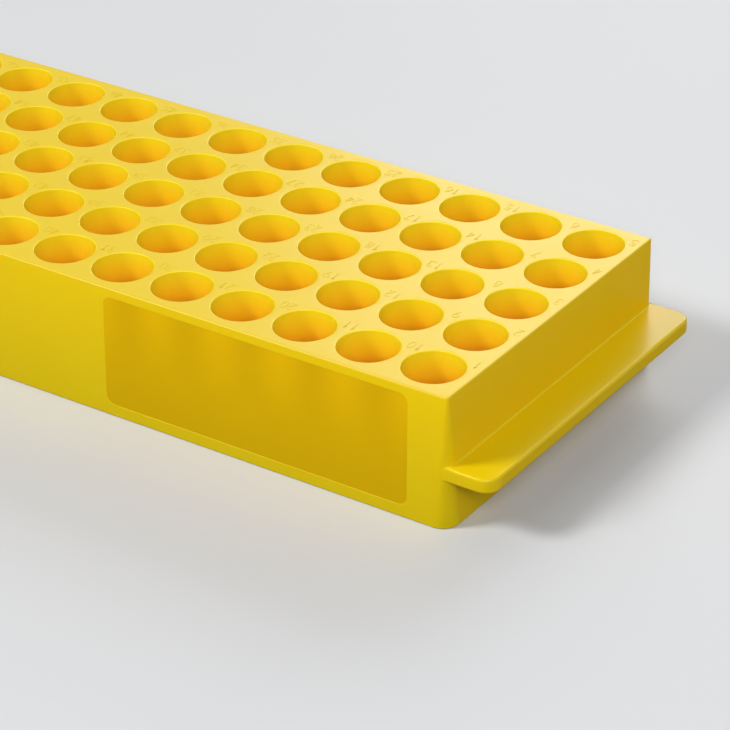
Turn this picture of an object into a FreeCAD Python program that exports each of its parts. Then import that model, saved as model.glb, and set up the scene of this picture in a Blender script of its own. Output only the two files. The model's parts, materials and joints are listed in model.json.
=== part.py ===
"""Microcentrifuge tube rack: one polypropylene moulding that holds 80 tubes in 5 rows of 16.

Frame: millimetres, +Z up. The origin is on the surface that the rack stands on, under the middle
of the deck. X runs along the rack, Y across it, and the writing panel is on the -Y wall.

The moulding is a drafted box, open underneath. Blind cups hang from its deck, and where two cups
or a cup and a wall meet they run into one another, so the hollows between them are left as
separate cores that open downwards. A lifting ledge stands out of each end wall.
"""
import FreeCAD
import Part
import math
import os

# ---- Driving dimensions, millimetres and degrees ----
COLUMNS = 16                 # wells along X
ROWS = 5                     # wells along Y
PITCH = 13.0                 # centre to centre of neighbouring wells, both ways
WELL_DIAMETER = 11.0         # inside of a well, for 1.5 ml and 2 ml tubes
RIM_ROUND = 0.5              # rounding of a well's mouth
CUP_WALL = 1.2               # wall of a cup around its well
CUP_FLOOR = 1.2              # thickness of a cup's closed bottom
CUP_FOOT_GAP = 0.8           # height of the cups' undersides above the standing surface
WELL_FLOOR_ROUND = 1.0       # rounding between a well's wall and its floor

EDGE_MARGIN = 7.6            # outermost well centres to the deck's edge
HEIGHT = 25.3                # standing surface to the top of the deck
DRAFT_ANGLE = 1.7            # the outer walls lean out towards the base by this angle
SKIN = 1.8                   # thickness of the outer walls
DECK_THICKNESS = 2.0         # thickness of the deck over the hollows
DECK_CORNER_RADIUS = 0.9     # plan radius of the box's corners at the deck
BASE_CORNER_RADIUS = 3.0     # plan radius of the box's corners at the base
DECK_EDGE_ROUND = 0.4        # rounding along the deck's edge
BASE_EDGE_ROUND = 0.3        # rounding along the foot of the walls

LEDGE_REACH = 8.7            # deck's end edge to the ledge's outer face
LEDGE_TOP = 12.2             # standing surface to the ledge's top face
LEDGE_THICKNESS = 2.8
LEDGE_SIDE_INSET = 0.3       # ledge's side faces inside the deck's side edges
LEDGE_CORNER_RADIUS = 3.0    # plan radius of the ledge's outer corners
LEDGE_EDGE_ROUND = 0.5       # rounding along the ledge's outer edges
LEDGE_ROOT_ROUND = 0.8       # fillet between the ledge's top and the end wall

PANEL_LENGTH = 63.5          # writing panel, along X
PANEL_HEIGHT = 21.3          # writing panel, up the wall
PANEL_CORNER_RADIUS = 1.8
PANEL_DEPTH = 0.2            # the panel is sunk this far into the wall
PANEL_END_GAP = 7.7          # deck's +X edge to the panel's near end
PANEL_TOP_GAP = 1.7          # top of the deck to the panel's upper edge, along the wall

# ---- Sizes that follow from them ----
DECK_LENGTH = (COLUMNS - 1) * PITCH + 2 * EDGE_MARGIN
DECK_WIDTH = (ROWS - 1) * PITCH + 2 * EDGE_MARGIN
FLARE = math.tan(math.radians(DRAFT_ANGLE))       # outward lean of a wall for each mm down
WELL_RADIUS = WELL_DIAMETER / 2
CUP_RADIUS = WELL_RADIUS + CUP_WALL
WELL_FLOOR = CUP_FOOT_GAP + CUP_FLOOR             # height of a well's floor
CEILING = HEIGHT - DECK_THICKNESS                 # underside of the deck in the hollows
OVERRUN = 2.0                                     # how far a cutting tool runs past the material
TOUCH = 0.0001                                    # places closer than this count as the same


def well_centres():
    """The wells' axes in plan, column by column from the -X end."""
    x0 = -(COLUMNS - 1) * PITCH / 2
    y0 = -(ROWS - 1) * PITCH / 2
    return [(x0 + i * PITCH, y0 + j * PITCH) for i in range(COLUMNS) for j in range(ROWS)]


def rounded_outline(half_x, half_y, radius, z):
    """A closed wire: a rectangle centred on the Z axis with round corners, at height z."""
    arc = radius * math.sqrt(0.5)
    points = []
    for sx, sy in ((1, 1), (-1, 1), (-1, -1), (1, -1)):
        cx, cy = sx * (half_x - radius), sy * (half_y - radius)
        ends = [(cx + sx * radius, cy), (cx, cy + sy * radius)]
        if sx * sy < 0:
            ends.reverse()
        points.append((ends[0], (cx + sx * arc, cy + sy * arc), ends[1]))
    vectors = [[FreeCAD.Vector(x, y, z) for x, y in corner] for corner in points]
    edges = []
    for n, (start, middle, end) in enumerate(vectors):
        edges.append(Part.Arc(start, middle, end).toShape())
        edges.append(Part.LineSegment(end, vectors[(n + 1) % 4][0]).toShape())
    return Part.Wire(edges)


def drafted_outline(z, inset=0.0):
    """The box's outline at height z, or one that lies evenly inside it."""
    down = HEIGHT - z
    share = down / HEIGHT
    radius = DECK_CORNER_RADIUS + (BASE_CORNER_RADIUS - DECK_CORNER_RADIUS) * share
    half_x = DECK_LENGTH / 2 + FLARE * down - inset
    half_y = DECK_WIDTH / 2 + FLARE * down - inset
    return rounded_outline(half_x, half_y, max(radius - inset, DECK_CORNER_RADIUS), z)


def drafted_block(low, high, inset=0.0):
    """The solid between the box's outlines at two heights."""
    return Part.makeLoft([drafted_outline(low, inset), drafted_outline(high, inset)], True, True)


def edges_at(shape, z):
    """The shape's edges that lie wholly in the plane at height z."""
    box = [(edge, edge.BoundBox) for edge in shape.Edges]
    return [e for e, b in box if abs(b.ZMin - z) < TOUCH and abs(b.ZMax - z) < TOUCH]


def outer_box():
    """The box before it is hollowed, with its deck and foot edges rounded."""
    block = drafted_block(0, HEIGHT)
    block = block.makeFillet(DECK_EDGE_ROUND, edges_at(block, HEIGHT))
    return block.makeFillet(BASE_EDGE_ROUND, edges_at(block, 0))


def ledge(side):
    """The lifting ledge of one end, side +1 or -1, run into the box by half its wall."""
    wall = DECK_LENGTH / 2
    start, end = wall - SKIN / 2, wall + LEDGE_REACH
    half_y = DECK_WIDTH / 2 - LEDGE_SIDE_INSET
    bottom = LEDGE_TOP - LEDGE_THICKNESS
    slab = Part.makeBox(end - start, 2 * half_y, LEDGE_THICKNESS, FreeCAD.Vector(start, -half_y, bottom))
    corners = [e for e in slab.Edges
               if e.BoundBox.XMin > end - TOUCH and e.BoundBox.ZLength > LEDGE_THICKNESS - TOUCH]
    slab = slab.makeFillet(LEDGE_CORNER_RADIUS, corners)
    rims = [e for e in edges_at(slab, LEDGE_TOP) + edges_at(slab, bottom)
            if e.BoundBox.XMax > start + TOUCH]
    slab = slab.makeFillet(LEDGE_EDGE_ROUND, rims)
    if side < 0:
        slab = slab.mirror(FreeCAD.Vector(0, 0, 0), FreeCAD.Vector(1, 0, 0))
    return slab


def round_ledge_roots(shape):
    """Fillets along both lines where a ledge's top face meets its end wall."""
    end_wall = DECK_LENGTH / 2 + FLARE * (HEIGHT - LEDGE_TOP)
    roots = [e for e in edges_at(shape, LEDGE_TOP)
             if abs(abs(e.BoundBox.Center.x) - end_wall) < TOUCH]
    return shape.makeFillet(LEDGE_ROOT_ROUND, roots)


def hollows():
    """What the moulding's cores take away: the space inside the walls, less the cups."""
    space = drafted_block(0, CEILING, SKIN)
    cups = [Part.makeCylinder(CUP_RADIUS, HEIGHT, FreeCAD.Vector(x, y, CUP_FOOT_GAP))
            for x, y in well_centres()]
    return space.cut(cups)


def well_tool():
    """The solid of revolution that cuts one well, on the Z axis."""
    r, floor = WELL_RADIUS, WELL_FLOOR
    rim, bend = RIM_ROUND, WELL_FLOOR_ROUND
    k = math.sqrt(0.5)                            # how far along X and Z the middle of each arc is

    def at(x, z):
        return FreeCAD.Vector(x, 0, z)

    top = HEIGHT + OVERRUN
    edges = [
        Part.LineSegment(at(0, floor), at(r - bend, floor)),
        Part.Arc(at(r - bend, floor), at(r - bend + bend * k, floor + bend - bend * k), at(r, floor + bend)),
        Part.LineSegment(at(r, floor + bend), at(r, HEIGHT - rim)),
        Part.Arc(at(r, HEIGHT - rim), at(r + rim - rim * k, HEIGHT - rim + rim * k), at(r + rim, HEIGHT)),
        Part.LineSegment(at(r + rim, HEIGHT), at(r + rim, top)),
        Part.LineSegment(at(r + rim, top), at(0, top)),
        Part.LineSegment(at(0, top), at(0, floor)),
    ]
    face = Part.Face(Part.Wire([e.toShape() for e in edges]))
    return face.revolve(FreeCAD.Vector(0, 0, 0), FreeCAD.Vector(0, 0, 1), 360)


def well_tools():
    """One cutting tool for each well."""
    tool = well_tool()
    return [tool.translated(FreeCAD.Vector(x, y, 0)) for x, y in well_centres()]


def panel_tool():
    """The shallow round-cornered block that sinks the writing panel into the -Y wall."""
    half_x, half_z = PANEL_LENGTH / 2, PANEL_HEIGHT / 2
    face = Part.Face(rounded_outline(half_x, half_z, PANEL_CORNER_RADIUS, 0))
    block = face.extrude(FreeCAD.Vector(0, 0, OVERRUN + PANEL_DEPTH))
    # Stood up against the wall: the block's own +Y goes up the wall, and its +Z goes out of it.
    block.translate(FreeCAD.Vector(0, -(PANEL_TOP_GAP + half_z), -PANEL_DEPTH))
    block.rotate(FreeCAD.Vector(0, 0, 0), FreeCAD.Vector(1, 0, 0), 90 - DRAFT_ANGLE)
    centre_x = DECK_LENGTH / 2 - PANEL_END_GAP - half_x
    block.translate(FreeCAD.Vector(centre_x, -DECK_WIDTH / 2, HEIGHT))
    return block


def rack_body():
    """The whole moulding."""
    body = outer_box().fuse([ledge(1), ledge(-1)]).removeSplitter()
    body = round_ledge_roots(body)
    return body.cut([hollows(), panel_tool()] + well_tools())


def main():
    os.makedirs("parts", exist_ok=True)
    body = rack_body()
    print("solids", len(body.Solids), "valid", body.isValid(), "faces", len(body.Faces))
    print("volume cm3", round(body.Volume / 1000, 2), "box", body.BoundBox)
    body.Solids[0].exportStep("parts/rack_body.step")


main()
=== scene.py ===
"""Looks of a microcentrifuge tube rack: one yellow polypropylene moulding with 80 numbered wells.

Everything is in metres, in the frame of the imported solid: the origin is on the standing surface under
the middle of the deck, X runs along the rack, Y across it, the writing panel is on the -Y wall, and +Z
is up. The moulding is one closed skin, put together from patches that are grids of two parameters.
"""
import json
import logging
import math
from dataclasses import dataclass, field
from enum import IntEnum

import bmesh
import bpy
import numpy as np
from mathutils import Matrix, Vector
from numpy.typing import NDArray


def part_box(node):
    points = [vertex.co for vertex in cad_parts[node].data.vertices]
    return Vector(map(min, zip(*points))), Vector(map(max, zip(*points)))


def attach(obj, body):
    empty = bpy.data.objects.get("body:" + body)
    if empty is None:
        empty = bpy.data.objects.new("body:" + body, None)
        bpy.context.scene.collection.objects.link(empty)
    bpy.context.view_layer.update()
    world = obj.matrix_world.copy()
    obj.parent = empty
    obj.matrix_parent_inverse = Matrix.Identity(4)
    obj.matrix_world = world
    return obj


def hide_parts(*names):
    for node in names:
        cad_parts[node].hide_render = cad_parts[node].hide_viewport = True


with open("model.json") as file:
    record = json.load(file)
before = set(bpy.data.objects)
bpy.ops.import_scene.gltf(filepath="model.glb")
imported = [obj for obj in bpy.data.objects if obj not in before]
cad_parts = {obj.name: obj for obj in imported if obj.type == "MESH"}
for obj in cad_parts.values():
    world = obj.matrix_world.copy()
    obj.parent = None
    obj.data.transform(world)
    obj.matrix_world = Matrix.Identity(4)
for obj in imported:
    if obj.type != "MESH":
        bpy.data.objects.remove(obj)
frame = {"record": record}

Array = NDArray[np.float64]
Faces = NDArray[np.int64]
Pair = tuple[float, float]
Triple = tuple[float, float, float]
Height = Array | float
Socket = bpy.types.NodeSocket

WHITE = (1.0, 1.0, 1.0)
MM = 0.001
TAU = 2 * math.pi
QUARTER = math.pi / 2
WELD = 0.002 * MM                    # points closer than this are one point
SMOOTH_BELOW = math.radians(40)      # edges that turn by less than this are smoothed over
SAME = 1e-9                          # shares closer than this are the same
DIGIT_WIDTH = 0.56                   # width of a digit, as a share of its height
NOISE_RANGE = (0.2, 0.8)             # where nearly all of a noise's values lie
MIX_COLOURS = (6, 7)                 # numbers of the Mix node's inputs for its two colours
MIX_RESULT = 2                       # number of its output for the blended colour
NODE = "rack_body"
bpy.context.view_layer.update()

log = logging.getLogger("rack")


class Finish(IntEnum):
    """The finishes of the moulding, as material slots on its mesh, with painted light and shade in their
    colours.
    """

    WALL = 0      # the walls, their corners, the ledges' sides and the whole underside
    PANEL = 1     # the writing panel's field
    DECK = 2      # the deck and its rounded edge
    WELL = 3      # the insides of the wells and their rims
    END = 4       # the flat faces at both ends
    LEDGE = 5     # the ledges' tops, their upper rims and the fillets at their roots


# ---- Sizes ----


@dataclass(frozen=True)
class RackSizes:
    """The moulding's sizes in metres. The wells' places and radius and the height come from the frame."""

    well_x: Array
    well_y: Array
    well_radius: float
    height: float
    rim_round: float = 0.18 * MM     # rounding of a well's mouth
    cup_wall: float = 1.2 * MM       # wall of a cup around its well
    cup_foot: float = 0.8 * MM       # height of the cups' undersides
    well_floor: float = 2.0 * MM     # height of the wells' floors
    well_bend: float = 1.0 * MM      # rounding between a well's wall and its floor
    edge_margin: float = 7.6 * MM    # outermost wells' axes to the deck's edge
    draft_degrees: float = 1.7       # the walls lean out towards the foot by this
    skin: float = 1.8 * MM           # thickness of the outer walls
    deck_thickness: float = 2.0 * MM
    deck_corner: float = 0.5 * MM    # plan radius of the walls' corners at the deck
    base_corner: float = 3.3 * MM    # and at the foot
    inner_deck_corner: float = 0.9 * MM          # the same for the walls' inner faces
    inner_base_corner: float = 1.2 * MM
    deck_round: float = 0.3 * MM     # rounding along the deck's edge
    base_round: float = 0.3 * MM     # rounding along the foot
    ledge_reach: float = 8.7 * MM    # deck's edge to the ledge's outer face
    ledge_top: float = 12.2 * MM     # height of its top face
    ledge_thickness: float = 2.8 * MM
    ledge_inset: float = -0.3 * MM   # deck's side to the ledge's side, which lies outside it
    ledge_corner: float = 3.0 * MM   # plan radius of its outer corners
    ledge_round: float = 0.5 * MM    # rounding along its outer edges
    ledge_fillet: float = 0.4 * MM   # fillet between its top and the end wall
    panel_length: float = 63.5 * MM
    panel_height: float = 21.3 * MM
    panel_corner: float = 1.8 * MM
    panel_depth: float = 0.06 * MM   # how far it is sunk into the wall
    panel_end_gap: float = 7.7 * MM  # deck's +X edge to its near end
    panel_top_gap: float = 1.7 * MM  # deck to its upper edge, down the wall

    @classmethod
    def from_frame(cls, record: dict, height: float) -> "RackSizes":
        """Read the wells' grid from the record's bore mounts.

        Args:
            record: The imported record, whose bores named well_N stand on the wells' axes.
            height: Top of the deck above the standing surface.

        Returns:
            The moulding's sizes.
        """
        wells = [m for m in record["mounts"] if m["kind"] == "bore"]
        places = np.array([m["pos_m"] for m in wells])
        return cls(
            well_x=np.unique(places[:, 0].round(6)),
            well_y=np.unique(places[:, 1].round(6)),
            well_radius=wells[0]["dims"]["r_mm"] * MM,
            height=height,
        )

    @property
    def pitch(self) -> float:
        """Centre to centre of neighbouring wells."""
        return float(self.well_x[1] - self.well_x[0])

    @property
    def cup_radius(self) -> float:
        """Outside radius of a cup."""
        return self.well_radius + self.cup_wall

    @property
    def lean(self) -> float:
        """The walls' lean from upright, in radians."""
        return math.radians(self.draft_degrees)

    @property
    def flare(self) -> float:
        """How far a wall leans out for each metre down."""
        return math.tan(self.lean)

    @property
    def half_x(self) -> float:
        """Half of the deck's length."""
        return float(self.well_x[-1]) + self.edge_margin

    @property
    def half_y(self) -> float:
        """Half of the deck's width."""
        return float(self.well_y[-1]) + self.edge_margin

    @property
    def ceiling(self) -> float:
        """Height of the hollows' ceilings."""
        return self.height - self.deck_thickness

    @property
    def beyond_panel(self) -> float:
        """X of the first boundary between wells beyond the panel's far end."""
        far_end = self.half_x - self.panel_end_gap - self.panel_length
        return math.floor(far_end / self.pitch) * self.pitch

    def centres(self) -> Array:
        """Every well's axis in plan, (80, 2), column by column."""
        x, y = np.meshgrid(self.well_x, self.well_y, indexing="ij")
        return np.stack([x.ravel(), y.ravel()], axis=1)


# ---- Skins: patches welded into one closed mesh ----


def on_circle(turns: Array) -> Array:
    """Points of the unit circle, (n, 2)."""
    return np.stack([np.cos(turns), np.sin(turns)], axis=-1)


def on_square(turns: Array) -> Array:
    """Points of the square from -1 to 1 where the rays at those turns meet it, (n, 2)."""
    ray = on_circle(turns)
    return ray / np.abs(ray).max(axis=1, keepdims=True)


def xyz(x: Array, y: Array, z: Array | float) -> Array:
    """Places from their coordinates, which are stretched to one shape, (..., 3)."""
    return np.stack(np.broadcast_arrays(x, y, z), axis=-1)


def at_height(flat: Array, z: float = 0.0) -> Array:
    """Places in plan (..., 2) at one height, as (..., 3)."""
    return xyz(flat[..., 0], flat[..., 1], z)


def grid_faces(rows: int, columns: int, closed: bool) -> Faces:
    """Quads of a grid of points counted row by row.

    Args:
        rows: Points along the first parameter.
        columns: Points along the second parameter.
        closed: Whether the last column joins the first.

    Returns:
        The quads as (n, 4) point numbers.
    """
    r = np.arange(rows - 1)[:, None] * columns
    c = np.arange(columns if closed else columns - 1)[None, :]
    after = (c + 1) % columns
    return np.stack([r + c, r + after, r + columns + after, r + columns + c], axis=-1).reshape(-1, 4)


@dataclass
class Skin:
    """Points and faces of patches that meet edge to edge, until weld makes them one mesh."""

    points: list[Array] = field(default_factory=list)
    faces: list[Faces] = field(default_factory=list)
    finishes: list[Faces] = field(default_factory=list)
    count: int = 0

    def add(self, points: Array, faces: Faces, finish: Finish = Finish.WALL) -> None:
        """Add points and their faces.

        Args:
            points: (..., 3) places.
            faces: (n, 3) or (n, 4) numbers of those points.
            finish: The faces' finish.
        """
        self.points.append(points.reshape(-1, 3))
        self.faces.append(faces + self.count)
        self.finishes.append(np.full(len(faces), int(finish)))
        self.count += points.size // 3

    def grid(self, points: Array, closed: bool = False, finish: Finish = Finish.WALL) -> None:
        """Add a grid, or many alike: points is (rows, columns, 3) or (copies, rows, columns, 3)."""
        rows, columns = points.shape[-3:-1]
        self.copies(points.reshape(-1, rows * columns, 3), grid_faces(rows, columns, closed), finish)

    def fan(self, loops: Array, middles: Array, finish: Finish = Finish.WALL) -> None:
        """Fill closed loops with triangles from their middles.

        Args:
            loops: (copies, n, 3) places.
            middles: (copies, 3) places that see the whole of their loops.
            finish: The triangles' finish.
        """
        n = loops.shape[1]
        k = np.arange(n)
        faces = np.stack([k, (k + 1) % n, np.full(n, n)], axis=1)
        self.copies(np.concatenate([loops, middles[:, None]], axis=1), faces, finish)

    def copies(self, points: Array, faces: Faces, finish: Finish = Finish.WALL) -> None:
        """Add the same faces on each of many sets of points.

        Args:
            points: (copies, n, 3) places.
            faces: Numbers of the points of one set.
            finish: The faces' finish.
        """
        starts = np.arange(len(points)) * points.shape[1]
        every = (faces[None] + starts[:, None, None]).reshape(-1, faces.shape[1])
        self.add(points, every, finish)

    def zip(self, one: Array, other: Array, finish: Finish = Finish.WALL) -> None:
        """Join two closed loops with unlike numbers of points by one band of triangles.

        Each loop's points are ordered by their turn about the loop's middle, in plan of the two
        widest axes. Walking once round, each next point makes a triangle with the edge that it ends
        and the point last passed on the other loop.

        Args:
            one: The first loop, (n, 3).
            other: The loop around it or inside it, (m, 3).
            finish: The band's finish.
        """
        axes = np.sort(np.argsort(np.ptp(one, axis=0))[1:])
        a, turn_a = by_turn(one, axes)
        b, turn_b = by_turn(other, axes)
        k, m = np.arange(len(a)), np.arange(len(b))
        passed_b = (np.searchsorted(turn_b, turn_a, side="left") - 1) % len(b)
        passed_a = (np.searchsorted(turn_a, turn_b, side="right") - 1) % len(a)
        first = np.stack([(k - 1) % len(a), k, len(a) + passed_b], axis=1)
        second = np.stack([len(a) + m, len(a) + (m - 1) % len(b), passed_a], axis=1)
        self.add(np.concatenate([a, b]), np.concatenate([first, second]), finish)

    def mesh(self, name: str) -> bpy.types.Mesh:
        """Put the patches into a new mesh, without the points that are on no face.

        Args:
            name: Name of the mesh.

        Returns:
            The mesh, with its patches not yet joined.
        """
        used, corners = np.unique(np.concatenate([f.ravel() for f in self.faces]), return_inverse=True)
        points = np.concatenate(self.points)[used]
        sides = np.concatenate([np.full(len(f), f.shape[1]) for f in self.faces])
        mesh = bpy.data.meshes.new(name)
        mesh.vertices.add(len(points))
        mesh.vertices.foreach_set("co", points.astype(np.float32).ravel())
        mesh.loops.add(len(corners))
        mesh.loops.foreach_set("vertex_index", corners.astype(np.int32))
        mesh.polygons.add(len(sides))
        mesh.polygons.foreach_set("loop_start", (np.cumsum(sides) - sides).astype(np.int32))
        mesh.polygons.foreach_set("material_index", np.concatenate(self.finishes).astype(np.int32))
        mesh.update(calc_edges=True)
        return mesh

    def weld(self, name: str) -> bpy.types.Object:
        """Merge the patches' shared points, turn every face outwards and smooth the rounded edges.

        Args:
            name: Name of the new object.

        Returns:
            The object, at the origin, with its place in its mesh.
        """
        mesh = self.mesh(name)
        work = bmesh.new()
        work.from_mesh(mesh)
        bmesh.ops.remove_doubles(work, verts=work.verts, dist=WELD)
        bmesh.ops.recalc_face_normals(work, faces=work.faces)
        work.to_mesh(mesh)
        work.free()
        sides = np.empty(len(mesh.loops), np.int32)
        mesh.loops.foreach_get("edge_index", sides)
        loose = int((np.bincount(sides, minlength=len(mesh.edges)) != 2).sum())
        counts = len(mesh.vertices), len(mesh.polygons), loose
        log.info("%s: %d points, %d faces, %d open edges", name, *counts)
        return placed(name, mesh)


def by_turn(loop: Array, axes: Array) -> tuple[Array, Array]:
    """Order a loop's points by their turn about its middle.

    Args:
        loop: (n, 3) places.
        axes: Numbers of the two axes in which the turn is measured.

    Returns:
        The points and their turns, as shares of a full turn, both by rising turn.
    """
    flat = loop[:, axes]
    low, high = flat.min(0), flat.max(0)
    from_middle = (2 * flat - low - high) / (high - low)
    turn = np.arctan2(from_middle[:, 1], from_middle[:, 0]) / TAU % 1.0
    order = np.argsort(turn)
    return loop[order], turn[order]


def linked(name: str, data: bpy.types.ID) -> bpy.types.Object:
    """Put a mesh, a light or a camera into the scene as an object at the origin.

    Args:
        name: Name of the object.
        data: What it shows.

    Returns:
        The object.
    """
    piece = bpy.data.objects.new(name, data)
    bpy.context.scene.collection.objects.link(piece)
    return piece


def placed(name: str, mesh: bpy.types.Mesh) -> bpy.types.Object:
    """Make a mesh an object of the scene, smooth except along its sharp edges.

    Args:
        name: Name of the object.
        mesh: Its mesh, with its place in it.

    Returns:
        The object, at the origin.
    """
    mesh.polygons.foreach_set("use_smooth", np.ones(len(mesh.polygons), bool))
    mesh.set_sharp_from_angle(angle=SMOOTH_BELOW)
    piece = linked(name, mesh)
    flats = piece.modifiers.new("flat_faces_stay_flat", "WEIGHTED_NORMAL")
    flats.keep_sharp = True
    return piece


def quarter(steps: int) -> tuple[Array, Array]:
    """Cosines and sines of a quarter turn in equal steps."""
    turn = np.linspace(0, QUARTER, steps + 1)
    return np.cos(turn), np.sin(turn)


# ---- The deck and its wells ----


@dataclass(frozen=True)
class Deck:
    """The flat deck with its wells. Each well has a square cell of deck around its mouth."""

    sizes: RackSizes
    side_steps: int = 10
    corner_steps: int = 8
    round_steps: int = 4

    @property
    def half_cell(self) -> float:
        """Half of the distance between wells, where neighbouring cells meet."""
        return self.sizes.pitch / 2

    @property
    def to_edge(self) -> float:
        """From an outer well's axis to the end of the flat deck."""
        return self.sizes.edge_margin - self.sizes.deck_round

    @property
    def edge_corner(self) -> float:
        """Plan radius of the flat deck's corners."""
        return self.sizes.deck_corner - self.sizes.deck_round

    def side_turns(self) -> Array:
        """Places along a side from -1 to 1: tangents of equal turns about the well's axis."""
        return np.tan(np.linspace(-QUARTER / 2, QUARTER / 2, self.side_steps + 1))

    def side_places(self, centres: Array) -> Array:
        """Places along a whole outer side of the flat deck, which its cells and the wall share.

        Each well's places are its axis plus half a cell times side_turns. Past the axis of the first
        and the last well, they are drawn out to end at the corner's arc.

        Args:
            centres: The wells' places along that side.

        Returns:
            The places in rising order, from one corner's arc to the other's.
        """
        reach = self.side_turns()[None, :] * np.full((len(centres), 1), self.half_cell)
        to_corner = self.to_edge - self.edge_corner
        half = len(self.side_turns()) // 2
        reach[0, :half] *= to_corner / self.half_cell
        reach[-1, half + 1:] *= to_corner / self.half_cell
        return np.unique((centres[:, None] + reach).round(9))

    def well_rings(self, turns: Array) -> Array:
        """A well's surface from its mouth to its floor, about its own axis.

        A profile of radius and height turned about the axis: a quarter round at the mouth, a straight
        wall and a quarter round into the floor.

        Args:
            turns: Angles of the points of each ring.

        Returns:
            (rings, len(turns), 3) places.
        """
        s = self.sizes
        cos, sin = quarter(self.round_steps)
        rim_r, rim_z = s.well_radius + s.rim_round * (1 - sin), s.height - s.rim_round * (1 - cos)
        bend_r, bend_z = s.well_radius - s.well_bend * (1 - cos), s.well_floor + s.well_bend * (1 - sin)
        middle_z = (rim_z[-1] + bend_z[0]) / 2
        radius = np.concatenate([rim_r, [s.well_radius], bend_r, [bend_r[-1] / 2]])
        height = np.concatenate([rim_z, [middle_z], bend_z, [s.well_floor]])
        return xyz(radius[:, None] * np.cos(turns), radius[:, None] * np.sin(turns), height[:, None])

    def add_wells(self, skin: Skin, centres: Array, turns: Array) -> None:
        """Add wells of one kind: rings, and a fan over the middle of each floor.

        Args:
            skin: Where they are added.
            centres: The wells' axes in plan, (n, 2).
            turns: Angles of the points of each ring.
        """
        rings = self.well_rings(turns)[None] + at_height(centres)[:, None, None]
        skin.grid(rings, closed=True, finish=Finish.WELL)
        skin.fan(rings[:, -1], at_height(centres, self.sizes.well_floor), Finish.WELL)

    def add_cells(self, skin: Skin) -> None:
        """Add the square cell and the well of every position but the four corners.

        A cell runs from the mouth's ring to its square. A point of the square lies where the ray at
        its turn meets the square from -1 to 1, stretched to the cell's own reach on each side.

        Args:
            skin: Where they are added.
        """
        s = self.sizes
        centres = s.centres()
        ends = np.stack([s.well_x[[0, -1]], s.well_y[[0, -1]]], axis=1)
        at_end = np.abs(centres[:, None, :] - ends[None]) < WELD
        no_corner = ~at_end.any(axis=1).all(axis=1)
        inner, at_end = centres[no_corner], at_end[no_corner]
        turns = np.arange(4 * self.side_steps) * TAU / (4 * self.side_steps)
        square = on_square(turns)
        low = np.where(at_end[:, 0], self.to_edge, self.half_cell)[:, None, :]
        high = np.where(at_end[:, 1], self.to_edge, self.half_cell)[:, None, :]
        edge = inner[:, None, :] + np.where(square < 0, square * low, square * high)
        self.add_deck_rings(skin, inner, turns, edge)
        self.add_wells(skin, inner, turns)

    def add_deck_rings(self, skin: Skin, centres: Array, turns: Array, edge: Array) -> None:
        """Add the flat rings between the wells' mouths and the cells' edges.

        Args:
            skin: Where they are added.
            centres: The wells' axes in plan, (n, 2).
            turns: Angles of the points of each ring.
            edge: The cells' edges in plan, (n, len(turns), 2).
        """
        s = self.sizes
        mouth = s.well_radius + s.rim_round
        ring = centres[:, None, :] + mouth * on_circle(turns)[None]
        flat = np.stack([ring, (ring + edge) / 2, edge], axis=1)
        skin.grid(at_height(flat, s.height), closed=True, finish=Finish.DECK)

    def add_corner_cells(self, skin: Skin) -> None:
        """Add the four corner cells, whose outer corners are rounded.

        They are one cell, with its round corner at +X and +Y, mirrored into each corner. The points
        whose turns are near 45 degrees go round that corner's arc in equal steps.

        Args:
            skin: Where they are added.
        """
        s = self.sizes
        step = TAU / (4 * self.side_steps)
        steps = np.arange(4 * self.side_steps)
        plain = steps[steps != self.side_steps // 2] * step
        extra = np.linspace(QUARTER / 2 - step, QUARTER / 2 + step, self.corner_steps + 3)[1:-1]
        turns = np.sort(np.concatenate([plain, extra]))
        ray, square = on_circle(turns), on_square(turns)
        to_corner = self.to_edge - self.edge_corner
        on_side = square[:, ::-1] > 1 - SAME
        edge = square * np.where(square < 0, self.half_cell, np.where(on_side, to_corner, self.to_edge))
        arc = np.linspace(0, QUARTER, self.corner_steps + 1)
        edge[np.isin(turns, extra)] = to_corner + self.edge_corner * on_circle(arc)
        for mirror in np.array([[1, 1], [-1, 1], [-1, -1], [1, -1]]):
            centre = mirror * np.array([[s.well_x[-1], s.well_y[-1]]])
            mirrored = np.arctan2(ray[:, 1] * mirror[1], ray[:, 0] * mirror[0])
            self.add_deck_rings(skin, centre, mirrored, centre[:, None] + edge[None] * mirror)
            self.add_wells(skin, centre, mirrored)

    def build(self, skin: Skin) -> None:
        """Add the whole deck with its wells."""
        self.add_cells(skin)
        self.add_corner_cells(skin)


# ---- The outer walls and the lifting ledges ----


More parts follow.
